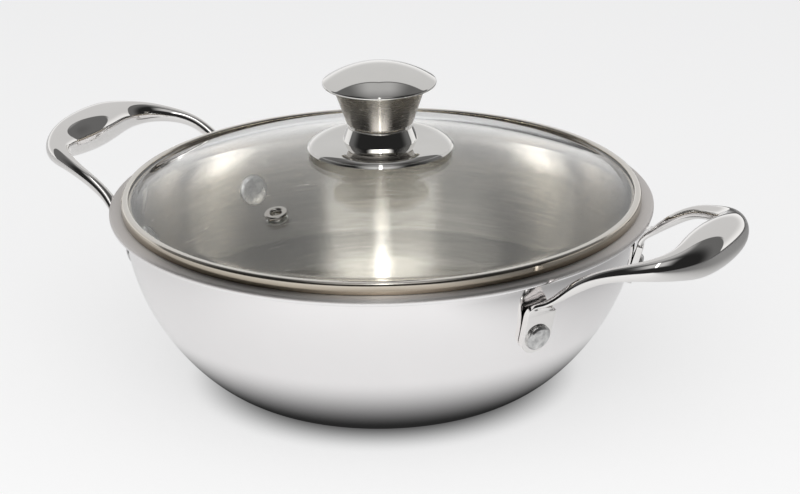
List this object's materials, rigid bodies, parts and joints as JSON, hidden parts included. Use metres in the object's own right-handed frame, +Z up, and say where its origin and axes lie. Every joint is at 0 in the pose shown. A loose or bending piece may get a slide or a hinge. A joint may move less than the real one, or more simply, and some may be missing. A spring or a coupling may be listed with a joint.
{
  "type": "kadai with lid",
  "caption": "Round-sided stainless-steel kadai with two riveted loop handles and a domed glass lid with a steel rim, steam vent and flared knob.",
  "frame": {"origin": "middle of the flat base, on the surface that the pan stands on", "axes": "+Z up along the pan's axis, +X through one handle, -X through the other"},
  "size_m": [0.3626, 0.256, 0.1536],
  "materials": {
    "bowl_steel": "polished outside, satin brushed inside",
    "handle_steel": "mirror polished cast stainless steel",
    "rivet_metal": "satin",
    "glass_clear": "clear tempered, smooth",
    "band_steel": "bright rolled stainless strip",
    "eyelet_steel": "bright",
    "knob_polished": "mirror polished",
    "knob_satin": "satin",
    "insert_brass": "turned",
    "screw_steel": "plain",
    "silicone": "translucent matt silicone"
  },
  "bodies": {
    "pan": {"bowl": "bowl_steel", "handle_right": "handle_steel", "handle_left": "handle_steel", "rivet_right_front": "rivet_metal", "rivet_right_rear": "rivet_metal", "rivet_left_front": "rivet_metal", "rivet_left_rear": "rivet_metal"},
    "lid": {"lid_glass": "glass_clear", "lid_band": "band_steel", "vent_eyelet": "eyelet_steel", "vent_washer": "eyelet_steel", "knob_base_disc": "knob_polished", "knob_neck": "knob_polished", "knob_cap": "knob_polished", "knob_body": "knob_satin", "knob_insert": "insert_brass", "knob_screw": "screw_steel", "screw_washer": "screw_steel", "gasket_upper": "silicone", "gasket_lower": "silicone"}
  },
  "joints": [
    {"name": "lid_lift", "type": "slide", "parent": "pan", "child": "lid", "axis": [0, 0, 1], "range_m": [0, 0.12]}
  ]
}
